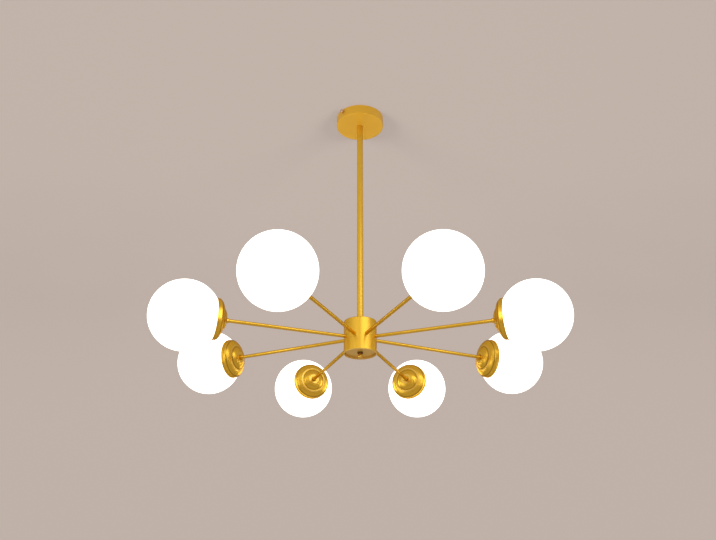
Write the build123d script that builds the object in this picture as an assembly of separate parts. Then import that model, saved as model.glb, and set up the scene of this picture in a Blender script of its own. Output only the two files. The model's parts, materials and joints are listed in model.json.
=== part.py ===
from build123d import *
import math
import os

# Sputnik chandelier: a ceiling canopy, a stem in two lengths, a hub, and a ring of arms that
# carry opal glass globes in stepped caps. Millimetres, +Z up. The origin is on the stem's axis
# in the plane of the ceiling, so the whole object hangs below z = 0.

# ---- driving dimensions -------------------------------------------------------------------

# ring of lamps
LAMP_COUNT = 8
FIRST_AZIMUTH = 22.5            # degrees from +X to the first arm
LAMP_REACH = 400.0              # hub axis to globe centre, along the arm
ARM_DROOP = 0.8                 # degrees that the arms hang below level

# clearances
SEAT_GAP = 0.2                  # between flat faces of pieces that come apart
LOOSE_FIT = 0.3                 # radial, between pieces that slide or screw loosely
CLOSE_FIT = 0.05                # radial, between a screwed pair drawn without its thread

# canopy
CANOPY_DIAMETER = 120.0
CANOPY_HEIGHT = 25.0
CANOPY_WALL = 1.0
CANOPY_EDGE_RADIUS = 2.0

# stem
STEM_DIAMETER = 15.0
STEM_WALL = 1.2
STEM_END_LENGTH = 14.0          # solid, threaded end of each stem length
STEM_END_CHAMFER = 0.5
STEM_UPPER_VISIBLE = 225.0      # canopy's underside to the joint line
STEM_LOWER_VISIBLE = 320.0      # joint line to the hub's top

# threaded nipples, coupler and their hexagon nuts
NIPPLE_DIAMETER = 10.0
NIPPLE_BORE = 7.0
COUPLER_LENGTH = 24.0
NIPPLE_NUT_FLATS = 17.0
NIPPLE_NUT_HEIGHT = 4.0

# ceiling bracket
BRACKET_AZIMUTH = 45.0          # degrees from +X to the strip's length
BRACKET_WIDTH = 20.0
BRACKET_THICKNESS = 2.0
BRACKET_DROP = 9.0              # centre of the strip, below the pads on the ceiling
BRACKET_CENTRE_HALF = 16.0
BRACKET_SLOPE = 5.0             # length of strip taken by each step down
BRACKET_EAR_DEPTH = 16.0
CEILING_HOLE_SPACING = 70.0
CEILING_HOLE_DIAMETER = 5.5

# canopy side screws
SIDE_SCREW_DIAMETER = 4.0
SIDE_SCREW_DROP = 9.0           # axis below the ceiling
SIDE_SCREW_BALL = 9.4
SIDE_SCREW_COLLAR = 8.0
SIDE_SCREW_COLLAR_THICKNESS = 1.4
SIDE_SCREW_REACH = 3.5          # tip past the ear's inner face
WELD_NUT_FLATS = 7.0
WELD_NUT_HEIGHT = 3.2
EAR_TO_NUT = 1.0                # ear's outer face to the weld nut

# hub
HUB_DIAMETER = 75.0
HUB_HEIGHT = 78.0
HUB_WALL = 2.5
HUB_TOP_EDGE_RADIUS = 1.2
HUB_RIM_RADIUS = 1.8
HUB_COVER_THICKNESS = 2.0
HUB_COVER_RECESS = 5.0          # cover's underside above the hub's rim
HUB_COVER_EDGE = 0.6
YOKE_THICKNESS = 2.0
YOKE_BASE_THICKNESS = 3.0
YOKE_WIDTH = 8.0
YOKE_HALF_SPAN = 20.0
HUB_CONNECTOR_DIAMETER = 24.0
HUB_CONNECTOR_HEIGHT = 16.0
HUB_CONNECTOR_EDGE = 1.5

# finial
FINIAL_STUD_DIAMETER = 6.0
FINIAL_STUD_ENGAGED = 4.0       # stud above the yoke's base
FINIAL_COLLAR_DIAMETER = 13.0
FINIAL_COLLAR_HEIGHT = 3.6
FINIAL_COLLAR_CHAMFER = 0.6
FINIAL_NECK_DIAMETER = 8.4
FINIAL_NECK_HEIGHT = 1.7
FINIAL_BALL_DIAMETER = 11.8

# arms
ARM_DIAMETER = 8.0
ARM_BORE = 6.0
ARM_INNER_END = 28.0            # hub axis to the arm's inner end
ARM_NUT_FLATS = 13.0
ARM_NUT_HEIGHT = 4.0
ARM_COLLAR_DIAMETER = 11.0
ARM_COLLAR_LENGTH = 6.5
ARM_COLLAR_CHAMFER = 0.8
ARM_THREAD_INSIDE_CAP = 9.0     # arm's outer end past the cap's outer face
LEAD_DIAMETER = 4.4

# globe
GLOBE_DIAMETER = 152.4
GLOBE_WALL = 2.5
GLOBE_NECK_DIAMETER = 87.4
GLOBE_NECK_WALL = 2.5
GLOBE_NECK_END = 68.5           # globe centre to the end of the neck

# cap, a spun dish in two tiers; heights are measured from the neck's end towards the hub
CAP_WALL = 1.0
CAP_LIP_DIAMETER = 93.0
CAP_LIP_WIDTH = 2.7
CAP_LIP_STEP = 0.8
CAP_LIP_CLEAR = 0.45            # lip to glass
CAP_SKIRT_PAST_NECK = 1.5       # skirt's end past the end of the glass neck
CAP_FIRST_HEIGHT = 9.6
CAP_FIRST_BULGE = 1.5           # dome's middle in front of the straight line between its ends
CAP_LEDGE_OUTER_DIAMETER = 62.0
CAP_LEDGE_INNER_DIAMETER = 54.0
CAP_LEDGE_RISE = 0.4
CAP_SECOND_HEIGHT = 8.4
CAP_SECOND_BULGE = 1.8
CAP_TOP_DIAMETER = 23.0

# gasket between the neck's end and the cap
GASKET_INSET = 1.1              # its edge inside the neck's outer edge
GASKET_WIDTH = 4.6
GASKET_THICKNESS = 1.5

# lampholder and bulb, E27 size
HOLDER_DIAMETER = 39.0
HOLDER_BOSS_DIAMETER = 15.0
HOLDER_BOSS_LENGTH = 2.5
HOLDER_SHOULDER_DIAMETER = 28.0
HOLDER_SHOULDER_LENGTH = 2.5
HOLDER_CONE_LENGTH = 5.0
HOLDER_MOUTH_DEPTH = 42.0       # globe centre to the socket's mouth
HOLDER_BEAD = 1.5
HOLDER_BEAD_LENGTH = 4.5
HOLDER_SOCKET_DEPTH = 24.0
BULB_CAP_DIAMETER = 26.2
BULB_CAP_LENGTH = 20.0
BULB_CONTACT_DIAMETER = 10.0
BULB_CONTACT_LENGTH = 3.8
BULB_COLLAR_LENGTH = 16.0
BULB_COLLAR_RIM = 1.2
BULB_DIAMETER = 45.0
BULB_LENGTH = 78.0

# ---- derived places -----------------------------------------------------------------------

canopy_radius = CANOPY_DIAMETER / 2
canopy_inner_radius = canopy_radius - CANOPY_WALL
stem_radius = STEM_DIAMETER / 2
stem_bore_radius = stem_radius - STEM_WALL
nipple_radius = NIPPLE_DIAMETER / 2
nipple_bore_radius = NIPPLE_BORE / 2

bracket_centre_top_z = -BRACKET_DROP
bracket_centre_bottom_z = bracket_centre_top_z - BRACKET_THICKNESS
stem_top_z = bracket_centre_bottom_z - NIPPLE_NUT_HEIGHT
stem_joint_z = -CANOPY_HEIGHT - STEM_UPPER_VISIBLE
hub_top_z = stem_joint_z - STEM_LOWER_VISIBLE
hub_bottom_z = hub_top_z - HUB_HEIGHT
hub_centre_z = (hub_top_z + hub_bottom_z) / 2
hub_radius = HUB_DIAMETER / 2
hub_inner_radius = hub_radius - HUB_WALL
hub_ceiling_z = hub_top_z - HUB_WALL
cover_bottom_z = hub_bottom_z + HUB_COVER_RECESS
cover_top_z = cover_bottom_z + HUB_COVER_THICKNESS
yoke_base_z = cover_top_z + SEAT_GAP
hub_nut_top_z = hub_ceiling_z - YOKE_THICKNESS

weld_nut_corner = WELD_NUT_FLATS / math.sqrt(3)
weld_nut_seat = math.sqrt(canopy_inner_radius ** 2 - weld_nut_corner ** 2) - CLOSE_FIT
ear_outer = weld_nut_seat - WELD_NUT_HEIGHT - EAR_TO_NUT
ear_inner = ear_outer - BRACKET_THICKNESS

arm_radius = ARM_DIAMETER / 2
arm_nut_corner = ARM_NUT_FLATS / math.sqrt(3)
arm_nut_outer = math.sqrt(hub_inner_radius ** 2 - arm_nut_corner ** 2) - CLOSE_FIT
cap_skirt_depth = GLOBE_NECK_END + CAP_SKIRT_PAST_NECK
cap_ledge_depth = cap_skirt_depth + CAP_FIRST_HEIGHT
cap_second_depth = cap_ledge_depth + CAP_LEDGE_RISE
cap_top_depth = cap_second_depth + CAP_SECOND_HEIGHT
cap_top_reach = LAMP_REACH - cap_top_depth
arm_outer_end = cap_top_reach + ARM_THREAD_INSIDE_CAP
holder_back_reach = cap_top_reach + CAP_WALL
holder_mouth_reach = LAMP_REACH - HOLDER_MOUTH_DEPTH

globe_radius = GLOBE_DIAMETER / 2
globe_inner_radius = globe_radius - GLOBE_WALL
neck_radius = GLOBE_NECK_DIAMETER / 2
neck_inner_radius = neck_radius - GLOBE_NECK_WALL
cap_bore_radius = neck_radius + LOOSE_FIT
cap_skirt_radius = cap_bore_radius + CAP_WALL


# ---- building blocks ----------------------------------------------------------------------

def outline(*pieces):
    """Join points and three-point arcs, given in order, into one closed face in the XY plane."""
    edges = []
    here = pieces[0]
    for piece in pieces[1:]:
        if len(piece) == 3:
            edges.append(ThreePointArc(here, piece[1], piece[2]))
            here = piece[2]
        else:
            edges.append(Line(here, piece))
            here = piece
    edges.append(Line(here, pieces[0]))
    return make_face(edges)


def arc(middle, end):
    """An arc from the last point of an outline through middle to end."""
    return ("arc", middle, end)


def bulged(start, end, bulge):
    """An arc from start to end whose middle stands to the left of the straight line by bulge."""
    along, up = end[0] - start[0], end[1] - start[1]
    share = bulge / math.hypot(along, up)
    middle = ((start[0] + end[0]) / 2 - up * share, (start[1] + end[1]) / 2 + along * share)
    return arc(middle, end)


def turned_upright(*pieces):
    """Turn an outline of (radius, z) points about the Z axis."""
    return revolve(Plane.XZ * outline(*pieces), Axis.Z, 360)


def turned_along_arm(*pieces):
    """Turn an outline of (reach, radius) points about the X axis, the arm's axis."""
    return revolve(outline(*pieces), Axis.X, 360)


def tube(radius, bore_radius, bottom_z, top_z):
    return turned_upright(
        (bore_radius, bottom_z), (radius, bottom_z), (radius, top_z), (bore_radius, top_z))


def hexagon_nut(flats, bore_radius, height):
    """A hexagon nut from z = 0 up to its height, with chamfered corners."""
    corner = flats / math.sqrt(3)
    blank = extrude(RegularPolygon(corner, 6), height)
    ease = corner - flats / 2
    cone = turned_upright(
        (0, 0), (corner - ease, 0), (corner, ease / 2), (corner, height - ease / 2),
        (corner - ease, height), (0, height))
    return (blank & cone) - Cylinder(bore_radius, height, align=(Align.CENTER, Align.CENTER, Align.MIN))


def lamp_place(index):
    """The place of lamp number index: its own +X axis becomes the drooping arm's axis."""
    azimuth = FIRST_AZIMUTH + index * 360 / LAMP_COUNT
    return Pos(0, 0, hub_centre_z) * Rot(0, 0, azimuth) * Rot(0, ARM_DROOP, 0)


def reach(depth):
    """Distance from the hub axis of a point this far from the globe's centre, towards the hub."""
    return LAMP_REACH - depth


# ---- ceiling end --------------------------------------------------------------------------

def mounting_bracket():
    """Bent steel strip: two pads on the ceiling, a lowered centre for the stem, slotted ears."""
    t = BRACKET_THICKNESS
    slope_end = BRACKET_CENTRE_HALF + BRACKET_SLOPE
    slope_shift = t * (math.hypot(BRACKET_SLOPE, BRACKET_DROP) - BRACKET_SLOPE) / BRACKET_DROP
    right = [(BRACKET_CENTRE_HALF, bracket_centre_top_z), (slope_end, 0), (ear_outer, 0),
             (ear_outer, -BRACKET_EAR_DEPTH), (ear_inner, -BRACKET_EAR_DEPTH), (ear_inner, -t),
             (slope_end + slope_shift, -t), (BRACKET_CENTRE_HALF + slope_shift, bracket_centre_bottom_z)]
    left = [(-x, z) for x, z in reversed(right)]
    profile = Plane.XZ * make_face(Polyline(*right, *left, close=True))
    strip = extrude(profile, BRACKET_WIDTH / 2, both=True)
    bends = [edge for edge in strip.edges().filter_by(Axis.Y)
             if abs(abs(edge.center().X) - ear_outer) < 0.01 and abs(edge.center().Z) < 0.01]
    strip = fillet(bends, t)
    strip -= Pos(0, 0, bracket_centre_bottom_z) * Cylinder(nipple_radius + CLOSE_FIT, 3 * t)
    slot_radius = SIDE_SCREW_DIAMETER / 2 + LOOSE_FIT
    slot_length = BRACKET_EAR_DEPTH - SIDE_SCREW_DROP + t
    bolt_hole = Cylinder(CEILING_HOLE_DIAMETER / 2, 2 * t)
    for side in (-1, 1):
        strip -= Pos(side * CEILING_HOLE_SPACING / 2, 0, -t / 2) * bolt_hole
        slot_place = Pos(side * (ear_outer + ear_inner) / 2, 0, -SIDE_SCREW_DROP)
        strip -= slot_place * Rot(0, 90, 0) * Cylinder(slot_radius, 2 * t)
        strip -= slot_place * Pos(0, 0, -slot_length / 2) * Box(2 * t, 2 * slot_radius, slot_length)
    return Rot(0, 0, BRACKET_AZIMUTH) * strip


def canopy():
    """Shallow spun cup, open at the ceiling, with the stem's hole and two side screw holes."""
    r, ri, h, w = canopy_radius, canopy_inner_radius, CANOPY_HEIGHT, CANOPY_WALL
    e = CANOPY_EDGE_RADIUS
    k = e * (1 - math.sqrt(0.5))
    ei = e - w
    ki = ei * (1 - math.sqrt(0.5))
    hole = stem_radius + LOOSE_FIT
    shell = turned_upright(
        (hole, -h), (r - e, -h), arc((r - k, -h + k), (r, -h + e)), (r, 0),
        (ri, 0), (ri, -h + e), arc((ri - ki, -h + w + ki), (ri - ei, -h + w)), (hole, -h + w))
    drill = Rot(0, 90, 0) * Cylinder(SIDE_SCREW_DIAMETER / 2 + CLOSE_FIT, CANOPY_DIAMETER * 1.2)
    return shell - Pos(0, 0, -SIDE_SCREW_DROP) * Rot(0, 0, BRACKET_AZIMUTH) * drill


def side_screw():
    """Ball-headed screw along +X, through the canopy wall and weld nut into the ear's slot."""
    shank = SIDE_SCREW_DIAMETER / 2
    collar = SIDE_SCREW_COLLAR / 2
    ball = SIDE_SCREW_BALL / 2
    tip = ear_inner - SIDE_SCREW_REACH
    seat = canopy_radius + SEAT_GAP
    collar_end = seat + SIDE_SCREW_COLLAR_THICKNESS
    neck = 0.55 * ball
    centre = collar_end + math.sqrt(ball ** 2 - neck ** 2)
    return turned_along_arm(
        (tip, 0), (tip, shank - 0.4), (tip + 0.4, shank), (seat, shank), (seat, collar),
        (collar_end, collar), (collar_end, neck), arc((centre, ball), (centre + ball, 0)))


def on_both_sides(shape):
    """The shape and its opposite, along the bracket's length at the side screws' height."""
    place = Pos(0, 0, -SIDE_SCREW_DROP) * Rot(0, 0, BRACKET_AZIMUTH)
    return Compound([place * shape, place * Rot(0, 0, 180) * shape])


def canopy_screws():
    return on_both_sides(side_screw())


def canopy_weld_nuts():
    nut = hexagon_nut(WELD_NUT_FLATS, SIDE_SCREW_DIAMETER / 2 + CLOSE_FIT, WELD_NUT_HEIGHT)
    return on_both_sides(Pos(weld_nut_seat - WELD_NUT_HEIGHT, 0, 0) * Rot(0, 90, 0) * nut)


# ---- stem ---------------------------------------------------------------------------------

def stem_length(bottom_z, top_z):
    """A tube with a thick threaded end at each side and a fine chamfer at both edges."""
    r, c = stem_radius, STEM_END_CHAMFER
    bore = nipple_radius + CLOSE_FIT
    return turned_upright(
        (bore, bottom_z), (r - c, bottom_z), (r, bottom_z + c), (r, top_z - c), (r - c, top_z),
        (bore, top_z), (bore, top_z - STEM_END_LENGTH), (stem_bore_radius, top_z - STEM_END_LENGTH),
        (stem_bore_radius, bottom_z + STEM_END_LENGTH), (bore, bottom_z + STEM_END_LENGTH))


def nipple(bottom_z, top_z):
    return tube(nipple_radius, nipple_bore_radius, bottom_z, top_z)


def nipple_nut(bottom_z):
    nut = hexagon_nut(NIPPLE_NUT_FLATS, nipple_radius + CLOSE_FIT, NIPPLE_NUT_HEIGHT)
    return Pos(0, 0, bottom_z) * nut


stem_nipple_top_z = bracket_centre_top_z + NIPPLE_NUT_HEIGHT + 1.0
hub_nipple_bottom_z = hub_nut_top_z - NIPPLE_NUT_HEIGHT - 1.5


# ---- hub ----------------------------------------------------------------------------------

def hub_body():
    """Drawn cup, closed on top, with one hole for the stem and a ring of holes for the arms."""
    r, ri = hub_radius, hub_inner_radius
    t, b = HUB_TOP_EDGE_RADIUS, HUB_RIM_RADIUS
    kt, kb = t * (1 - math.sqrt(0.5)), b * (1 - math.sqrt(0.5))
    hole = nipple_radius + CLOSE_FIT
    cup = turned_upright(
        (hole, hub_ceiling_z), (ri, hub_ceiling_z), (ri, hub_bottom_z), (r - b, hub_bottom_z),
        arc((r - kb, hub_bottom_z + kb), (r, hub_bottom_z + b)), (r, hub_top_z - t),
        arc((r - kt, hub_top_z - kt), (r - t, hub_top_z)), (hole, hub_top_z))
    for index in range(LAMP_COUNT):
        cup -= lamp_place(index) * Pos(hub_radius, 0, 0) * Rot(0, 90, 0) * Cylinder(
            arm_radius + CLOSE_FIT, 4 * HUB_WALL)
    return cup


def hub_yoke():
    """Closed strap clamped under the hub's top, with a tapped base for the finial's stud."""
    outside = 2 * YOKE_HALF_SPAN
    inside = outside - 2 * YOKE_THICKNESS
    top = hub_ceiling_z
    frame_height = top - yoke_base_z
    window_height = frame_height - YOKE_THICKNESS - YOKE_BASE_THICKNESS
    window_middle = yoke_base_z + YOKE_BASE_THICKNESS + window_height / 2
    strap = Pos(0, 0, (top + yoke_base_z) / 2) * Box(outside, YOKE_WIDTH, frame_height)
    strap = fillet(strap.edges().filter_by(Axis.Y), YOKE_THICKNESS)
    strap -= Pos(0, 0, window_middle) * Box(inside, YOKE_WIDTH * 2, window_height)
    pad_height = YOKE_THICKNESS
    strap += Pos(0, 0, top - pad_height / 2) * Cylinder(nipple_radius * 1.7, pad_height)
    strap -= Pos(0, 0, top) * Cylinder(nipple_radius + CLOSE_FIT, 3 * YOKE_THICKNESS)
    stud_hole = Cylinder(FINIAL_STUD_DIAMETER / 2 + CLOSE_FIT, 3 * YOKE_BASE_THICKNESS)
    return strap - Pos(0, 0, yoke_base_z) * stud_hole


def hub_cover():
    """Disc that closes the hub, up inside its rim."""
    r = hub_inner_radius - LOOSE_FIT
    hole = FINIAL_STUD_DIAMETER / 2 + LOOSE_FIT
    return turned_upright(
        (hole, cover_bottom_z), (r - HUB_COVER_EDGE, cover_bottom_z), (r, cover_bottom_z + HUB_COVER_EDGE),
        (r, cover_top_z), (hole, cover_top_z))


def finial():
    """Stud, collar, neck and ball, turned in one piece."""
    stud, collar = FINIAL_STUD_DIAMETER / 2, FINIAL_COLLAR_DIAMETER / 2
    neck, ball, c = FINIAL_NECK_DIAMETER / 2, FINIAL_BALL_DIAMETER / 2, FINIAL_COLLAR_CHAMFER
    stud_top = yoke_base_z + YOKE_BASE_THICKNESS + FINIAL_STUD_ENGAGED
    seat = cover_bottom_z - SEAT_GAP
    collar_bottom = seat - FINIAL_COLLAR_HEIGHT
    neck_bottom = collar_bottom - FINIAL_NECK_HEIGHT
    centre = neck_bottom - math.sqrt(ball ** 2 - neck ** 2)
    return turned_upright(
        (0, stud_top), (0, centre - ball), arc((ball, centre), (neck, neck_bottom)),
        (neck, collar_bottom), (collar - c, collar_bottom), (collar, collar_bottom + c), (collar, seat),
        (stud, seat), (stud, stud_top))


def hub_connector():
    """Round splice block in the middle of the hub, where the leads meet the supply cable."""
    block = Cylinder(HUB_CONNECTOR_DIAMETER / 2, HUB_CONNECTOR_HEIGHT)
    return Pos(0, 0, hub_centre_z) * chamfer(block.edges(), HUB_CONNECTOR_EDGE)


def supply_cable():
    """Straight cable from the top nipple's mouth down to the connector in the hub."""
    radius = nipple_bore_radius - LOOSE_FIT
    bottom = hub_centre_z + HUB_CONNECTOR_HEIGHT / 2
    return Pos(0, 0, bottom) * Cylinder(
        radius, stem_nipple_top_z - bottom, align=(Align.CENTER, Align.CENTER, Align.MIN))


# ---- one lamp, along +X from the hub axis --------------------------------------------------

def arm():
    """Tube from inside the hub to inside the cap, with a collar that the cap seats against."""
    r, bore = arm_radius, ARM_BORE / 2
    collar, c = ARM_COLLAR_DIAMETER / 2, ARM_COLLAR_CHAMFER
    collar_start = cap_top_reach - ARM_COLLAR_LENGTH
    return turned_along_arm(
        (ARM_INNER_END, bore), (ARM_INNER_END, r), (collar_start, r), (collar_start, collar - c),
        (collar_start + c, collar), (cap_top_reach, collar), (cap_top_reach, r), (arm_outer_end, r),
        (arm_outer_end, bore))


def arm_nut():
    nut = hexagon_nut(ARM_NUT_FLATS, arm_radius + CLOSE_FIT, ARM_NUT_HEIGHT)
    return Pos(arm_nut_outer - ARM_NUT_HEIGHT, 0, 0) * Rot(0, 90, 0) * nut


def lead():
    """Twin lead inside the arm, from the connector's face to the lampholder's terminals."""
    radius = LEAD_DIAMETER / 2
    start = HUB_CONNECTOR_DIAMETER / 2 + CLOSE_FIT
    return Pos(start, 0, 0) * Rot(0, 90, 0) * Cylinder(
        radius, arm_outer_end - start, align=(Align.CENTER, Align.CENTER, Align.MIN))


def cap():
    """Spun dish: lip and skirt round the glass neck, a domed tier, a ledge and a smaller dome."""
    lip, skirt, bore, w = CAP_LIP_DIAMETER / 2, cap_skirt_radius, cap_bore_radius, CAP_WALL
    lip_outer_depth = math.sqrt(globe_radius ** 2 - lip ** 2) + CAP_LIP_CLEAR
    lip_inner_depth = math.sqrt(globe_radius ** 2 - bore ** 2) + CAP_LIP_CLEAR
    lip_end_depth = lip_outer_depth + CAP_LIP_WIDTH
    hole = arm_radius + CLOSE_FIT
    skirt_end = (reach(cap_skirt_depth), skirt)
    ledge_outer = (reach(cap_ledge_depth), CAP_LEDGE_OUTER_DIAMETER / 2)
    ledge_inner = (reach(cap_second_depth), CAP_LEDGE_INNER_DIAMETER / 2)
    top = (cap_top_reach, CAP_TOP_DIAMETER / 2)
    corners_outside = (skirt_end, ledge_outer, ledge_inner, top)
    skirt_in, ledge_outer_in, ledge_inner_in, top_in = [(x + w, r - w) for x, r in corners_outside]
    return turned_along_arm(
        (reach(lip_inner_depth), bore), (reach(lip_outer_depth), lip), (reach(lip_end_depth), lip),
        (reach(lip_end_depth + CAP_LIP_STEP), skirt), skirt_end,
        bulged(skirt_end, ledge_outer, -CAP_FIRST_BULGE), ledge_inner,
        bulged(ledge_inner, top, -CAP_SECOND_BULGE),
        (cap_top_reach, hole), (cap_top_reach + w, hole), top_in,
        bulged(top_in, ledge_inner_in, CAP_SECOND_BULGE), ledge_outer_in,
        bulged(ledge_outer_in, skirt_in, CAP_FIRST_BULGE))


def gasket():
    """Soft ring on the end of the glass neck."""
    outer = neck_radius - GASKET_INSET
    inner = outer - GASKET_WIDTH
    start = GLOBE_NECK_END + SEAT_GAP
    end = start + GASKET_THICKNESS
    return turned_along_arm(
        (reach(start), inner), (reach(start), outer), (reach(end), outer), (reach(end), inner))


def globe():
    """Blown opal sphere with a short neck that screws into the cap."""
    outside, inside = globe_radius, globe_inner_radius
    neck_start = math.sqrt(outside ** 2 - neck_radius ** 2)
    inner_start = math.sqrt(inside ** 2 - neck_inner_radius ** 2)
    return turned_along_arm(
        (reach(GLOBE_NECK_END), neck_inner_radius), (reach(GLOBE_NECK_END), neck_radius),
        (reach(neck_start), neck_radius), arc((reach(0), outside), (reach(-outside), 0)),
        (reach(-inside), 0), arc((reach(0), inside), (reach(inner_start), neck_inner_radius)))


def lampholder():
    """Shell screwed on the arm's end inside the cap, with a socket for the bulb's cap."""
    body, boss, shoulder = HOLDER_DIAMETER / 2, HOLDER_BOSS_DIAMETER / 2, HOLDER_SHOULDER_DIAMETER / 2
    bore = BULB_CAP_DIAMETER / 2 + LOOSE_FIT
    entry = arm_radius + CLOSE_FIT
    waist = body - HOLDER_BEAD
    boss_end = holder_back_reach + HOLDER_BOSS_LENGTH
    shoulder_end = boss_end + HOLDER_SHOULDER_LENGTH
    cone_end = shoulder_end + HOLDER_CONE_LENGTH
    bead_start = holder_mouth_reach - HOLDER_BEAD_LENGTH
    floor = holder_mouth_reach - HOLDER_SOCKET_DEPTH
    return turned_along_arm(
        (holder_back_reach, entry), (holder_back_reach, boss), (boss_end, boss), (shoulder_end, shoulder),
        (cone_end, waist), (bead_start, waist), (bead_start, body), (holder_mouth_reach, body),
        (holder_mouth_reach, bore), (floor, bore), (floor, 0), (arm_outer_end, 0), (arm_outer_end, entry))


def bulb():
    """Round lamp: contact, screw cap, conical collar and globe."""
    cap_radius, contact = BULB_CAP_DIAMETER / 2, BULB_CONTACT_DIAMETER / 2
    ball = BULB_DIAMETER / 2
    cap_start = holder_mouth_reach - BULB_CAP_LENGTH
    contact_tip = cap_start - BULB_CONTACT_LENGTH
    front = contact_tip + BULB_LENGTH
    centre = front - ball
    rim_start = holder_mouth_reach + 1.0
    rim = cap_radius + BULB_COLLAR_RIM
    collar_end = rim_start + BULB_COLLAR_LENGTH
    collar_radius = math.sqrt(ball ** 2 - (centre - collar_end) ** 2)
    return turned_along_arm(
        (contact_tip, 0), (contact_tip, contact), (cap_start, cap_radius), (rim_start, cap_radius),
        (rim_start, rim), (collar_end, collar_radius), arc((centre, ball), (front, 0)))


def ring_of(shape):
    """One copy of a small lamp piece for every arm, as separate solids of one group."""
    return Compound([lamp_place(index) * shape for index in range(LAMP_COUNT)])


# ---- every node ---------------------------------------------------------------------------

def all_nodes():
    nodes = {
        "mounting_bracket": mounting_bracket(),
        "canopy": canopy(),
        "canopy_screws": canopy_screws(),
        "canopy_weld_nuts": canopy_weld_nuts(),
        "stem_nipple": nipple(stem_top_z - STEM_END_LENGTH + 2, stem_nipple_top_z),
        "stem_nuts": Compound([nipple_nut(bracket_centre_top_z), nipple_nut(stem_top_z)]),
        "stem_upper": stem_length(stem_joint_z, stem_top_z),
        "stem_coupler": nipple(stem_joint_z - COUPLER_LENGTH / 2, stem_joint_z + COUPLER_LENGTH / 2),
        "stem_lower": stem_length(hub_top_z, stem_joint_z),
        "hub_nipple": nipple(hub_nipple_bottom_z, hub_top_z + STEM_END_LENGTH - 2),
        "hub_nut": nipple_nut(hub_nut_top_z - NIPPLE_NUT_HEIGHT),
        "hub_body": hub_body(),
        "hub_yoke": hub_yoke(),
        "hub_cover": hub_cover(),
        "finial": finial(),
        "hub_connector": hub_connector(),
        "supply_cable": supply_cable(),
        "arm_nuts": ring_of(arm_nut()),
        "lamp_leads": ring_of(lead()),
        "lampholders": ring_of(lampholder()),
    }
    repeated = {"arm": arm(), "cap": cap(), "gasket": gasket(), "globe": globe(), "bulb": bulb()}
    for name, shape in repeated.items():
        for index in range(LAMP_COUNT):
            nodes[f"{name}_{index + 1}"] = lamp_place(index) * shape
    return nodes


os.makedirs("parts", exist_ok=True)
for node_name, node_shape in all_nodes().items():
    export_step(node_shape, f"parts/{node_name}.step")
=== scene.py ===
import json
import math

import bmesh
import bpy
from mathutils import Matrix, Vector


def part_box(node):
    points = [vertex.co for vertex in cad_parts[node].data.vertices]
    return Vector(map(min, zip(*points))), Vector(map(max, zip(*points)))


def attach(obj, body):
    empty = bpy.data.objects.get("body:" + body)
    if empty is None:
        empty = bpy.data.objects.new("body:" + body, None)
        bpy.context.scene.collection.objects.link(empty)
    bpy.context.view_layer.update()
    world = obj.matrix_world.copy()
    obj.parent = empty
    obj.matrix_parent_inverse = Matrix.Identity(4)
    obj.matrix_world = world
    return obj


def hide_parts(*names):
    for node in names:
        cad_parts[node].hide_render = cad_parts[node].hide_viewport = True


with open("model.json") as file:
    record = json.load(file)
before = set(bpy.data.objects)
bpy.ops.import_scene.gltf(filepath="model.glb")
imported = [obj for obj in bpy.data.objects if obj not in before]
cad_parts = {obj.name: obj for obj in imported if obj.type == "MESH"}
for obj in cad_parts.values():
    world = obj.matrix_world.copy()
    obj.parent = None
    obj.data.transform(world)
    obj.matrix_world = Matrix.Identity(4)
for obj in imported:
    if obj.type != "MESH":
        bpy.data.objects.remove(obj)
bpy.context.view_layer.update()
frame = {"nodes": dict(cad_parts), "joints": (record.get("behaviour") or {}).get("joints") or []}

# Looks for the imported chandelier: gold lacquer on spun and drawn metal, lit opal globes, threads
# and fittings inside, a plain pale room and soft studio light. Metres, in the frame of the CAD.

# ---- colours, linear ----------------------------------------------------------------------

GOLD = (0.90, 0.56, 0.045)
GOLD_EDGE = (0.55, 0.36, 0.17)      # what it reflects at a glancing angle
PAINTED_HIGHLIGHT_GOLD = (0.96, 0.69, 0.20)      # painted highlights on edges
PAINTED_SHADE_GOLD = (0.40, 0.21, 0.012)    # painted shade in creases and along edges
PAINTED_LIGHT_INSIDE_GOLD = (0.84, 0.52, 0.11)      # paler, duller gold inside the hub: painted light that lifts its hollow out of shade
PAINTED_DARK_REFLECTION = (0.22, 0.12, 0.03)    # painted dark reflection on the finial's collar
CANOPY_GOLD = (0.98, 0.545, 0.045)
POLISHED_GOLD = (0.90, 0.58, 0.12)
ROSE_BRASS = (0.86, 0.62, 0.44)
ZINC = (0.56, 0.56, 0.54)
NICKEL = (0.64, 0.62, 0.58)
OPAL = (0.62, 0.61, 0.59)
LAMP_GLOW = (1.0, 0.985, 0.96)      # light that comes through the globes and the bulbs
SILICONE = (0.80, 0.80, 0.77)
WHITE_PLASTIC = (0.80, 0.79, 0.76)
BLACK_PLASTIC = (0.018, 0.018, 0.018)
CABLE_SHEATH = (0.72, 0.72, 0.69)
DIFFUSER = (0.86, 0.85, 0.82)
ROOM = (0.533, 0.451, 0.402)        # pale warm grey of the ceiling and what lies beyond
FLOOR = (0.44, 0.378, 0.338)
STUDIO = (1.0, 0.985, 0.965)        # of the lamps and the world

# ---- surfaces: scales of noise per metre, reliefs in metres -------------------------------

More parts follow.
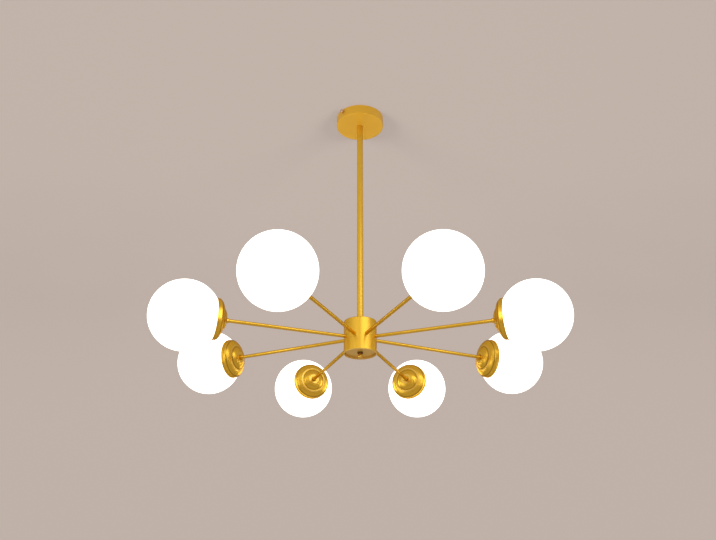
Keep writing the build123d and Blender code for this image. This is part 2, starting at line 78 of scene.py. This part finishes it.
TOOL_MARKS = 2600.0                 # across the rings that spinning and turning leave
TOOL_DRIFT = 30.0                   # how often the rings wander round about
TOOL_DRIFT_REACH = 4.0              # how far they wander, in steps of the noise
LACQUER_GRAIN = 5200.0
LACQUER_CLOUD = 34.0
LACQUER_RELIEF = 0.0004
LACQUER_TONE = (0.93, 1.05)         # how far its unevenness darkens and lightens the colour
MARKS_IN_RELIEF = 0.7               # the rest is grain
CLOUD_IN_TONE = 0.6                 # the rest is tool marks
DULL_METALLIC = 0.35                # of the paler gold inside the hub that is painted light
OPAL_CLOUD = 11.0
OPAL_RIPPLE = 26.0
OPAL_RELIEF = 0.002
GLOBE_GLOW = 2.3
BULB_GLOW = 0.6
PLATE_SPANGLE = 420.0
PLATE_SCRATCHES = 2400.0
PLASTIC_GRAIN = 3000.0
PLASTIC_CLOUD = 60.0
FINE_RELIEF = 0.0003                # of plate and plastic

# ---- painted highlights on edges and painted shade in creases -----------------------------

# Middles of the painted rings of highlight and shade: heights on the hub, radii on the caps.
HUB_RIM_HEIGHT = 0.0006             # above the hub's lower edge
CAP_RIM_INSET = 0.0034              # inwards from the cap's rim
CAP_LEDGE_OUTER = 0.0308
CAP_LEDGE_INNER = 0.0268
CAP_TOP_OUTER = 0.0112
CAP_COLLAR = 0.0058

# Half widths of the rings.
HUB_RIM_BAND = 0.0018
HUB_TOP_BAND = 0.0016
CAP_RIM_BAND = 0.0012
EDGE_BAND = 0.0016
CREASE_BAND = 0.0014

# Where the painted light inside the hub and the painted dark on the finial start.
HUB_COVER_GAP = 0.0004              # outwards from the hub's cover, inside the hub
FINIAL_BALL_TOP = 0.86              # up from the ball's foot, as a share of the ball's width

# ---- threads and bulbs --------------------------------------------------------------------

SHARP_ANGLE = 38.0                  # degrees between faces, past which an edge stays sharp
NIPPLE_RADIUS = 0.005
NIPPLE_BORE = 0.0035
NIPPLE_PITCH = 0.001
NIPPLE_GROOVE = 0.00055
NIPPLE_CHAMFER = 0.0006
BULB_LENGTH = 0.078                 # heights of the bulb are from the contact's tip
BULB_BALL = 0.0225                  # radius
BULB_SHELL = 0.01309                # radius over the crests of its thread
BULB_THREAD = (0.0056, 0.0206)      # lowest and highest point of the thread
BULB_PITCH = 0.00362
BULB_GROOVE = 0.00115
BULB_SEGMENTS = 56
BODY_END = 0.0408                   # where the body meets the ball
BALL_SEAM = 0.0002                  # the ball is that much smaller than the body there
BALL_STEPS = 25
BALL_POLE = (0.0004, BULB_LENGTH - 0.00001)    # radius and height of its small flat top
RIB_COUNT = 7
RIB_START = 0.0262
RIB_PITCH = 0.0020

# Numbers of the bulb's materials, and its small turned steps as points of radius and height.
CONTACT, INSULATOR, SHELL, BODY, BALL = range(5)
CONTACT_STEPS = ((0.0030, 0.0001), (0.0042, 0.0004), (0.0047, 0.0012))
INSULATOR_STEPS = ((0.0047, 0.0018), (0.0078, 0.0024), (0.0112, 0.0040))
SHELL_FOOT = ((0.0114, 0.0046), (0.0123, 0.0052))
SHELL_TOP = ((0.0130, 0.0212), (0.0130, 0.0232), (0.0126, 0.0236))
BODY_FOOT = ((0.0126, 0.0247), (0.0139, 0.0249), (0.0142, 0.0254))
RIB_STEPS = ((0.0, 0.0), (-0.0003, 0.0003), (-0.0003, 0.0008), (0.0001, 0.0011))

# ---- studio -------------------------------------------------------------------------------

WORLD_STRENGTH = 0.55
ROOM_GLOW = 0.60                    # share of the room's colour that no shadow reaches
GRAZING_LIGHT = 6.0                 # on the ceiling alone, from both sides, for the canopy's shadow
GRAZING_ANGLE = 17.0                # degrees below the ceiling
GRAZING_AZIMUTH = 48.0
GRAZING_WIDTH = 24.0                # degrees, which make its shadows soft
GLOBES_ON_CEILING = 0.07            # what the lit globes add to the light on it
ROOM_HALF = 40.0
CEILING_GAP = 0.0004                # above the canopy's rim
FLOOR_Z = -2.4

# ---- camera, from the photograph ----------------------------------------------------------

CAMERA_BACK = 1.6896                # from the stem's axis
CAMERA_SIDE = -0.0028
CAMERA_BELOW_RING = 0.630
CAMERA_PITCH = 25.55
CAMERA_YAW = 0.08
CAMERA_LENS = 39.67
CAMERA_SENSOR = 36.0
CAMERA_SEES = 200.0                 # furthest distance

# ---- what the frame says of the lamps -----------------------------------------------------

ORIGIN = Vector((0.0, 0.0, 0.0))
AXIS_Z = Vector((0.0, 0.0, 1.0))
GLOBE_CENTRE = 0.0685               # from the end of the globe's neck
turn_joints = {
    joint["name"]: joint
    for joint in frame["joints"]
    if joint["name"].startswith("globe_") and joint["name"].endswith("_turn")
}
LAMPS = range(1, len(turn_joints) + 1)


def lamp_axis(index):
    """Outward unit vector along arm number index, from 1."""
    return Vector(turn_joints[f"globe_{index}_turn"]["axis"]).normalized()


def neck_end(index):
    """Centre of the end of the globe's neck."""
    return Vector(turn_joints[f"globe_{index}_turn"]["pos_m"])


# ---- shader helpers -----------------------------------------------------------------------

class Shader:
    """A material's node tree, built with short calls."""

    def __init__(self, name):
        self.material = bpy.data.materials.new(name)
        self.material.use_nodes = True
        self.tree = self.material.node_tree
        self.tree.nodes.clear()

    def add(self, kind, **settings):
        node = self.tree.nodes.new("ShaderNode" + kind)
        for key, value in settings.items():
            setattr(node, key, value)
        return node

    def put(self, socket, value):
        """Links another node's output to the socket, or sets the socket's own value."""
        if isinstance(value, bpy.types.NodeSocket):
            self.tree.links.new(value, socket)
        else:
            socket.default_value = value

    def set(self, node, **values):
        """Fills inputs by name: a name's underscores stand for spaces."""
        for key, value in values.items():
            self.put(node.inputs[key.replace("_", " ")], value)
        return node

    def fill(self, node, values):
        """Fills the first inputs in their order."""
        for socket, value in zip(node.inputs, values):
            self.put(socket, value)
        return node

    def maths(self, operation, *values):
        return self.fill(self.add("Math", operation=operation), values).outputs[0]

    def vector(self, operation, *values):
        node = self.fill(self.add("VectorMath", operation=operation), values)
        return node.outputs["Value" if operation in ("DOT_PRODUCT", "LENGTH") else "Vector"]

    def place(self):
        """Position on the piece, in the CAD's frame, which moves with the piece."""
        return self.add("TexCoord").outputs["Object"]

    def noise(self, vector, scale, detail):
        node = self.set(self.add("TexNoise"), Vector=vector, Scale=scale, Detail=detail)
        return node.outputs["Fac"]

    def spread(self, value, low, high):
        """Maps 0..1 to low..high."""
        node = self.set(self.add("MapRange"), Value=value, To_Min=low, To_Max=high)
        return node.outputs["Result"]

    def share(self, part, first, second):
        """That part of the first value and the rest of the second."""
        of_first = self.maths("MULTIPLY", first, part)
        of_second = self.maths("MULTIPLY", second, 1.0 - part)
        return self.maths("ADD", of_first, of_second)

    def tint(self, colour, value, low, high):
        """The colour times a factor that value moves from low to high."""
        factor = self.spread(value, low, high)
        grey = self.set(self.add("CombineColor"), Red=factor, Green=factor, Blue=factor)
        node = self.add("Mix", data_type="RGBA", blend_type="MULTIPLY")
        self.set(node, Factor=1.0, A=(*colour, 1.0), B=grey.outputs["Color"])
        return node.outputs["Result"]

    def blend(self, part, first, second):
        """From the first colour to the second as part goes from 0 to 1."""
        node = self.set(self.add("Mix", data_type="RGBA"), Factor=part, A=first, B=second)
        return node.outputs["Result"]

    def bump(self, height, strength, distance):
        node = self.set(self.add("Bump"), Height=height, Strength=strength, Distance=distance)
        return node.outputs["Normal"]

    def finish(self, surface):
        """Ends the tree in that surface and gives its material."""
        self.set(self.add("OutputMaterial"), Surface=surface)
        return self.material

    def principled(self, **values):
        return self.finish(self.set(self.add("BsdfPrincipled"), **values).outputs["BSDF"])


# ---- materials ----------------------------------------------------------------------------

def round_axis(shader, centre, axis):
    """Place from the centre, distance along an axis through it, and distance out from the axis."""
    place = shader.vector("SUBTRACT", shader.place(), tuple(centre))
    height = shader.vector("DOT_PRODUCT", place, tuple(axis))
    along = shader.add("VectorMath", operation="SCALE")
    shader.set(along, Vector=tuple(axis), Scale=height)
    radius = shader.vector("LENGTH", shader.vector("SUBTRACT", place, along.outputs["Vector"]))
    return place, height, radius


def lathe_marks(shader, place, height, radius):
    """Noise in rings round an axis, as left by turning: fine across, long round about."""
    drift = shader.noise(place, TOOL_DRIFT, detail=1.0)
    rings = shader.set(
        shader.add("CombineXYZ"),
        X=shader.maths("MULTIPLY", radius, TOOL_MARKS),
        Y=shader.maths("MULTIPLY", height, TOOL_MARKS),
        Z=shader.maths("MULTIPLY", drift, TOOL_DRIFT_REACH),
    )
    return shader.noise(rings.outputs["Vector"], scale=1.0, detail=2.0)


def band_share(shader, measure, middle, half_width):
    """1 where the measure is at the middle, falling evenly to 0 at half_width from it."""
    distance = shader.maths("ABSOLUTE", shader.maths("SUBTRACT", measure, middle))
    falling = shader.maths("MINIMUM", shader.maths("DIVIDE", distance, half_width), 1.0)
    return shader.maths("SUBTRACT", 1.0, falling)


def gold(name, roughness, marks, metallic, centre=ORIGIN, axis=AXIS_Z, colour=GOLD,
         painted_light_within=None, painted_dark_above=None, bands=()):
    """Gold lacquer over turned metal: soft rings of tool marks, a fine grain, slight unevenness.

    Nearer the axis than the inner radius, when one is given, the gold is paler and less metallic:
    painted light that lifts that hollow out of its shade. Past the given height along the axis,
    when one is given, the metal is painted dark, a painted reflection. Each band is a soft ring of
    another colour, painted highlight or painted shade, at a radius or a height: which of them, its
    middle, its half width and its colour.
    """
    shader = Shader(name)
    place, height, radius = round_axis(shader, centre, axis)
    measures = {"radius": radius, "height": height}
    rings = lathe_marks(shader, place, height, radius)
    grain = shader.noise(shader.place(), LACQUER_GRAIN, detail=2.0)
    cloud = shader.noise(shader.place(), LACQUER_CLOUD, detail=3.0)
    relief = shader.share(MARKS_IN_RELIEF, rings, grain)
    uneven = shader.share(CLOUD_IN_TONE, cloud, rings)
    tone = shader.tint(colour, uneven, *LACQUER_TONE)
    # A paler, less metallic gold nearer the axis: painted light that lifts that hollow out of its
    # shade.
    if painted_light_within is not None:
        inside = shader.maths("LESS_THAN", radius, painted_light_within)
        dull = shader.tint(PAINTED_LIGHT_INSIDE_GOLD, uneven, low=0.90, high=1.05)
        tone = shader.blend(inside, tone, dull)
        metallic = shader.spread(inside, metallic, DULL_METALLIC)
    # Soft rings of painted highlight and painted shade.
    for measure, middle, half_width, band_colour in bands:
        share = band_share(shader, measures[measure], middle, half_width)
        tone = shader.blend(share, tone, shader.tint(band_colour, uneven, *LACQUER_TONE))
    # Past that height the metal is painted dark: a painted reflection of the dark above it.
    if painted_dark_above is not None:
        painted_dark_part = shader.maths("GREATER_THAN", height, painted_dark_above)
        dark = shader.tint(PAINTED_DARK_REFLECTION, uneven, low=0.90, high=1.10)
        tone = shader.blend(painted_dark_part, tone, dark)
    return shader.principled(
        Base_Color=tone,
        Metallic=metallic,
        Roughness=shader.spread(uneven, low=roughness - 0.06, high=roughness + 0.07),
        Specular_Tint=(*GOLD_EDGE, 1.0),
        Coat_Weight=0.30,
        Coat_Roughness=0.22,
        Normal=shader.bump(relief, marks, LACQUER_RELIEF),
    )


def opal_glass():
    """Blown opal glass, lit from inside: glossy skin, faint cloudiness and ripple in the casing."""
    shader = Shader("opal_glass")
    cloud = shader.noise(shader.place(), OPAL_CLOUD, detail=4.0)
    ripple = shader.noise(shader.place(), OPAL_RIPPLE, detail=1.0)
    return shader.principled(
        Base_Color=shader.tint(OPAL, cloud, low=0.97, high=1.02),
        Roughness=shader.spread(cloud, low=0.10, high=0.18),
        IOR=1.5,
        Coat_Weight=0.3,
        Coat_Roughness=0.06,
        Emission_Color=(*LAMP_GLOW, 1.0),
        Emission_Strength=GLOBE_GLOW,
        Normal=shader.bump(ripple, strength=0.03, distance=OPAL_RELIEF),
    )


def plated_steel(name, colour):
    """Plated steel: small spangle, fine scratches and a dull shine."""
    shader = Shader(name)
    spangle = shader.set(shader.add("TexVoronoi"), Vector=shader.place(), Scale=PLATE_SPANGLE)
    value = shader.vector("DOT_PRODUCT", spangle.outputs["Color"], (0.33, 0.33, 0.33))
    scratch = shader.noise(shader.place(), PLATE_SCRATCHES, detail=3.0)
    return shader.principled(
        Base_Color=shader.tint(colour, value, low=0.86, high=1.08),
        Metallic=1.0,
        Roughness=shader.spread(value, low=0.28, high=0.46),
        Normal=shader.bump(scratch, strength=0.06, distance=FINE_RELIEF),
    )


def plastic(name, colour, roughness, glow=0.0):
    """Moulded plastic with a fine eroded grain."""
    shader = Shader(name)
    pits = shader.noise(shader.place(), PLASTIC_GRAIN, detail=2.0)
    cloud = shader.noise(shader.place(), PLASTIC_CLOUD, detail=2.0)
    return shader.principled(
        Base_Color=shader.tint(colour, cloud, low=0.95, high=1.04),
        Roughness=shader.spread(pits, low=roughness - 0.05, high=roughness + 0.08),
        Emission_Color=(*LAMP_GLOW, 1.0),
        Emission_Strength=glow,
        Normal=shader.bump(pits, strength=0.05, distance=FINE_RELIEF),
    )


def room_surface(name, colour, light_on_it):
    """Plain matt surface that the camera and reflections see and the studio's light goes through.

    Its own glow and what the studio's light, light_on_it, adds to it make up its colour together.
    """
    shader = Shader(name)
    path = shader.add("LightPath")
    seen = shader.maths("MAXIMUM", path.outputs["Is Camera Ray"], path.outputs["Is Glossy Ray"])
    seen = shader.maths("MAXIMUM", seen, path.outputs["Is Transmission Ray"])
    facing = shader.maths("SUBTRACT", 1.0, shader.add("NewGeometry").outputs["Backfacing"])
    seen = shader.maths("MULTIPLY", seen, facing)
    share = (1 - ROOM_GLOW) / light_on_it
    matt = shader.set(shader.add("BsdfDiffuse"), Color=(*[c * share for c in colour], 1.0))
    glow = shader.set(shader.add("Emission"), Color=(*colour, 1.0), Strength=ROOM_GLOW)
    both = shader.fill(shader.add("AddShader"), (matt.outputs["BSDF"], glow.outputs["Emission"]))
    clear = shader.add("BsdfTransparent")
    mix = shader.add("MixShader")
    shader.fill(mix, (seen, clear.outputs["BSDF"], both.outputs["Shader"]))
    return shader.finish(mix.outputs["Shader"])


# ---- dress the CAD nodes ------------------------------------------------------------------

hub_low, hub_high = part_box("hub_body")
# Painted highlight along the hub's lower rim, painted shade along its top edge.
hub_bands = (
    ("height", hub_low.z + HUB_RIM_HEIGHT, HUB_RIM_BAND, PAINTED_HIGHLIGHT_GOLD),
    ("height", hub_high.z, HUB_TOP_BAND, PAINTED_SHADE_GOLD),
)
cover_low, cover_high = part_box("hub_cover")
hub_inside = cover_high.x + HUB_COVER_GAP
finial_low, finial_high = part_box("finial")
ball_top = finial_low.z + (finial_high.x - finial_low.x) * FINIAL_BALL_TOP
cap_vertices = frame["nodes"]["cap_1"].data.vertices
cap_rim = max((vertex.co - neck_end(1)).cross(lamp_axis(1)).length for vertex in cap_vertices)
# Painted rings: shade in from the rim, highlight and shade at the ledge, highlight at top, shade at
# collar.
cap_bands = (
    ("radius", cap_rim - CAP_RIM_INSET, CAP_RIM_BAND, PAINTED_SHADE_GOLD),
    ("radius", CAP_LEDGE_OUTER, EDGE_BAND, PAINTED_HIGHLIGHT_GOLD),
    ("radius", CAP_LEDGE_INNER, CREASE_BAND, PAINTED_SHADE_GOLD),
    ("radius", CAP_TOP_OUTER, EDGE_BAND, PAINTED_HIGHLIGHT_GOLD),
    ("radius", CAP_COLLAR, CREASE_BAND, PAINTED_SHADE_GOLD),
)

gold_stem = gold("gold_stem", roughness=0.36, marks=0.03, metallic=0.6)
# The hub: paler gold inside as painted light, rings of painted highlight and shade outside.
gold_hub = gold("gold_hub", roughness=0.36, marks=0.05, metallic=0.92,
                painted_light_within=hub_inside, bands=hub_bands)
gold_canopy = gold("gold_canopy", roughness=0.42, marks=0.10, metallic=0.35, colour=CANOPY_GOLD)
# The finial: its collar above the ball is painted dark, a painted reflection.
gold_bright = gold("gold_bright", roughness=0.14, marks=0.04, metallic=1.0,
                   colour=POLISHED_GOLD, painted_dark_above=ball_top)
rose_brass = gold("rose_brass", roughness=0.14, marks=0.03, metallic=1.0, colour=ROSE_BRASS)
zinc = plated_steel("zinc_plate", ZINC)
nickel = plated_steel("nickel_plate", NICKEL)
opal = opal_glass()
silicone = plastic("silicone", SILICONE, roughness=0.45)
white_plastic = plastic("white_plastic", WHITE_PLASTIC, roughness=0.35)
black_plastic = plastic("black_plastic", BLACK_PLASTIC, roughness=0.28)
cable_sheath = plastic("cable_sheath", CABLE_SHEATH, roughness=0.40)
bulb_diffuser = plastic("bulb_diffuser", DIFFUSER, roughness=0.30, glow=BULB_GLOW)


def dress(material, *nodes):
    """Gives CAD nodes their finished material."""
    for node in nodes:
        mesh = frame["nodes"][node].data
        mesh.materials.clear()
        mesh.materials.append(material)


dress(gold_canopy, "canopy")
dress(gold_stem, "stem_upper", "stem_lower")
dress(gold_hub, "hub_body", "hub_cover")
dress(gold_bright, "finial")
dress(rose_brass, "canopy_screws")
dress(zinc, "mounting_bracket", "canopy_weld_nuts", "stem_nuts", "stem_coupler", "hub_nut",
      "hub_yoke", "arm_nuts")
dress(white_plastic, "hub_connector")
dress(cable_sheath, "supply_cable", "lamp_leads")
dress(black_plastic, "lampholders")
for lamp in LAMPS:
    line = {"centre": neck_end(lamp), "axis": lamp_axis(lamp)}
    arm_gold = gold(f"gold_arm_{lamp}", roughness=0.30, marks=0.015, metallic=1.0, **line)
    cap_gold = gold(f"gold_cap_{lamp}", roughness=0.30, marks=0.03, metallic=1.0, bands=cap_bands,
                    **line)
    dress(arm_gold, f"arm_{lamp}")
    dress(cap_gold, f"cap_{lamp}")
    dress(silicone, f"gasket_{lamp}")
    dress(opal, f"globe_{lamp}")


# ---- pieces with threads, in place of plainer CAD nodes -----------------------------------

def add_object(name, data):
    """A new object in the scene."""
    made = bpy.data.objects.new(name, data)
    bpy.context.scene.collection.objects.link(made)
    return made


def turned(name, rows, materials, pitch, closed=False, segments=40):
    """Mesh turned round the z axis from rows of radius, height, groove and material number.

    A groove deeper than 0 runs round in a helix of that pitch. The last row of a closed profile
    joins its first.
    """
    made = bmesh.new()
    rings = []
    for radius, height, groove, _ in rows:
        ring = []
        for step in range(segments):
            turn = step / segments
            depth = groove * (0.5 - 0.5 * math.cos(2 * math.pi * (height / pitch - turn)))
            angle = 2 * math.pi * turn
            reach = radius - depth
            ring.append(made.verts.new((reach * math.cos(angle), reach * math.sin(angle), height)))
        rings.append(ring)
    numbers = [row[-1] for row in rows]
    strips = list(zip(rings, rings[1:], numbers))
    if closed:
        strips.append((rings[-1], rings[0], numbers[-1]))
    for low, high, number in strips:
        for step in range(segments):
            following = (step + 1) % segments
            face = made.faces.new((low[step], low[following], high[following], high[step]))
            face.material_index = number
            face.smooth = True
    if not closed:
        made.faces.new(rings[0]).material_index = numbers[0]
        made.faces.new(rings[-1]).material_index = numbers[-1]
    bmesh.ops.recalc_face_normals(made, faces=made.faces)
    mesh = bpy.data.meshes.new(name)
    made.to_mesh(mesh)
    made.free()
    mesh.set_sharp_from_angle(angle=math.radians(SHARP_ANGLE))
    for material in materials:
        mesh.materials.append(material)
    return mesh


def plain_rows(number, *points):
    """Rows with no groove through points of radius and height, in material number."""
    return [(radius, height, 0.0, number) for radius, height in points]


def thread_rows(start, end, radius, groove, pitch, number, steps=7):
    """Rows along a screw thread whose groove fades in and out within a turn at its ends."""
    count = int((end - start) / pitch * steps) + 1
    rows = []
    for row in range(count + 1):
        height = start + (end - start) * row / count
        fade = min(1.0, (height - start) / pitch, (end - height) / pitch)
        rows.append((radius, height, groove * fade, number))
    return rows


def threaded_nipple(node):
    """Tube with a fine thread over its whole length, in place of its CAD node."""
    low, high = (corner.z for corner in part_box(node))
    ends = NIPPLE_RADIUS - NIPPLE_CHAMFER
    rows = plain_rows(0, (NIPPLE_BORE, low), (ends, low))
    rows += thread_rows(low + NIPPLE_CHAMFER, high - NIPPLE_CHAMFER, NIPPLE_RADIUS, NIPPLE_GROOVE,
                        NIPPLE_PITCH, 0)
    rows += plain_rows(0, (ends, high), (NIPPLE_BORE, high))
    name = node + "_threaded"
    piece = add_object(name, turned(name, rows, [zinc], NIPPLE_PITCH, closed=True))
    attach(piece, "root")
    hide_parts(node)


def bulb_mesh():
    """Round LED bulb: contact, black insulator, screw shell, ribbed white body, opal ball."""
    rows = plain_rows(CONTACT, *CONTACT_STEPS)
    rows += plain_rows(INSULATOR, *INSULATOR_STEPS)
    rows += plain_rows(SHELL, *SHELL_FOOT)
    rows += thread_rows(*BULB_THREAD, BULB_SHELL, BULB_GROOVE, BULB_PITCH, SHELL, steps=10)
    rows += plain_rows(SHELL, *SHELL_TOP)
    rows += plain_rows(BODY, *BODY_FOOT)
    foot, start = BODY_FOOT[-1]
    centre = BULB_LENGTH - BULB_BALL
    end = math.sqrt(BULB_BALL ** 2 - (centre - BODY_END) ** 2)
    for rib in range(RIB_COUNT):
        height = RIB_START + rib * RIB_PITCH
        wide = foot + (end - foot) * (height - start) / (BODY_END - start)
        rows += plain_rows(BODY, *((wide + out, height + up) for out, up in RIB_STEPS))
    rows += plain_rows(BALL, (end - BALL_SEAM, BODY_END))
    below = math.asin((centre - BODY_END) / BULB_BALL)
    for step in range(1, BALL_STEPS):
        angle = -below + (math.pi / 2 + below) * step / BALL_STEPS
        point = (BULB_BALL * math.cos(angle), centre + BULB_BALL * math.sin(angle))
        rows += plain_rows(BALL, point)
    rows += plain_rows(BALL, BALL_POLE)
    materials = [nickel, black_plastic, nickel, white_plastic, bulb_diffuser]
    return turned("led_bulb", rows, materials, BULB_PITCH, segments=BULB_SEGMENTS)


threaded_nipple("stem_nipple")
threaded_nipple("hub_nipple")
one_bulb = bulb_mesh()
for lamp in LAMPS:
    axis = lamp_axis(lamp)
    bulb_vertices = frame["nodes"][f"bulb_{lamp}"].data.vertices
    tip = min(vertex.co.dot(axis) for vertex in bulb_vertices)
    bulb = add_object(f"led_bulb_{lamp}", one_bulb)
    bulb.location = neck_end(lamp) + axis * (tip - neck_end(lamp).dot(axis))
    bulb.rotation_euler = axis.to_track_quat("Z", "Y").to_euler()
    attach(bulb, f"bulb_{lamp}")
    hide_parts(f"bulb_{lamp}")


# ---- room, light and camera ---------------------------------------------------------------

def room_plane(name, z, faces_down, material):
    """A large flat square of the room."""
    half = ROOM_HALF
    corners = [(-half, -half, z), (half, -half, z), (half, half, z), (-half, half, z)]
    mesh = bpy.data.meshes.new(name)
    mesh.from_pydata(corners, [], [(3, 2, 1, 0) if faces_down else (0, 1, 2, 3)])
    mesh.materials.append(material)
    made = add_object(name, mesh)
    return made


def only(name, receiver):
    """A collection of one object, for the lights that fall on it alone."""
    made = bpy.data.collections.new(name)
    made.objects.link(receiver)
    return made


def grazing_light(name, azimuth, receivers):
    """Wide parallel light along the ceiling, which falls on the receivers alone."""
    data = bpy.data.lights.new(name, "SUN")
    data.energy = GRAZING_LIGHT
    data.angle = math.radians(GRAZING_WIDTH)
    data.color = STUDIO
    light = add_object(name, data)
    light.rotation_euler = (math.radians(90.0 + GRAZING_ANGLE), 0.0, math.radians(azimuth))
    light.light_linking.receiver_collection = receivers


def softbox(name, place, target, width, height, power, receivers=None):
    """A rectangular studio light at place that points at target.

    It falls on everything, or where receivers are given on them alone.
    """
    data = bpy.data.lights.new(name, "AREA")
    data.shape = "RECTANGLE"
    data.size = width
    data.size_y = height
    data.energy = power
    data.color = STUDIO
    light = add_object(name, data)
    light.location = place
    light.rotation_euler = (Vector(target) - Vector(place)).to_track_quat("-Z", "Y").to_euler()
    if receivers:
        light.light_linking.receiver_collection = receivers


def studio_world():
    """Even pale surroundings: the camera sees the room's colour, soft white lights the object."""
    world = bpy.data.worlds.new("studio")
    bpy.context.scene.world = world
    world.use_nodes = True
    tree = world.node_tree
    tree.nodes.clear()
    path = tree.nodes.new("ShaderNodeLightPath")
    room = tree.nodes.new("ShaderNodeBackground")
    room.inputs["Color"].default_value = (*ROOM, 1.0)
    soft = tree.nodes.new("ShaderNodeBackground")
    soft.inputs["Color"].default_value = (*STUDIO, 1.0)
    soft.inputs["Strength"].default_value = WORLD_STRENGTH
    mix = tree.nodes.new("ShaderNodeMixShader")
    output = tree.nodes.new("ShaderNodeOutputWorld")
    tree.links.new(path.outputs["Is Camera Ray"], mix.inputs["Fac"])
    tree.links.new(soft.outputs["Background"], mix.inputs[1])
    tree.links.new(room.outputs["Background"], mix.inputs[2])
    tree.links.new(mix.outputs["Shader"], output.inputs["Surface"])


ring_z = sum((neck_end(lamp) + lamp_axis(lamp) * GLOBE_CENTRE).z for lamp in LAMPS) / len(LAMPS)

grazing_share = GRAZING_LIGHT * math.sin(math.radians(GRAZING_ANGLE)) / math.pi
light_on_ceiling = WORLD_STRENGTH + 2 * grazing_share + GLOBES_ON_CEILING
ceiling_paint = room_surface("ceiling_paint", ROOM, light_on_ceiling)
floor_paint = room_surface("floor_paint", FLOOR, WORLD_STRENGTH)
ceiling = room_plane("ceiling", CEILING_GAP, True, ceiling_paint)
room_plane("floor", FLOOR_Z, False, floor_paint)
studio_world()

ceiling_only = only("ceiling_only", ceiling)
canopy_only = only("canopy_only", frame["nodes"]["canopy"])
grazing_light("grazing_left", -GRAZING_AZIMUTH, ceiling_only)
grazing_light("grazing_right", GRAZING_AZIMUTH, ceiling_only)
softbox("overhead_light", place=(0.85, -1.20, -0.05), target=(0.85, -1.20, -1.0),
        width=1.5, height=1.3, power=10.0)
softbox("overhead_left", place=(-0.70, -1.30, -0.05), target=(-0.70, -1.30, -1.0),
        width=1.3, height=1.4, power=3.0)
softbox("low_light", place=(0.0, -1.3, -2.1), target=(0.0, 0.0, 0.0),
        width=0.7, height=0.6, power=2.0, receivers=canopy_only)
softbox("fill_light", place=(-2.5, -0.9, -0.95), target=(0.0, 0.0, ring_z),
        width=1.2, height=1.6, power=7.0)

camera_data = bpy.data.cameras.new("camera")
camera_data.lens = CAMERA_LENS
camera_data.sensor_width = CAMERA_SENSOR
camera_data.sensor_fit = "HORIZONTAL"
camera_data.clip_end = CAMERA_SEES
camera = add_object("camera", camera_data)
camera.location = (CAMERA_SIDE, -CAMERA_BACK, ring_z - CAMERA_BELOW_RING)
camera.rotation_euler = (math.radians(90.0 + CAMERA_PITCH), 0.0, math.radians(CAMERA_YAW))
bpy.context.scene.camera = camera
bpy.context.scene.view_settings.view_transform = "Standard"
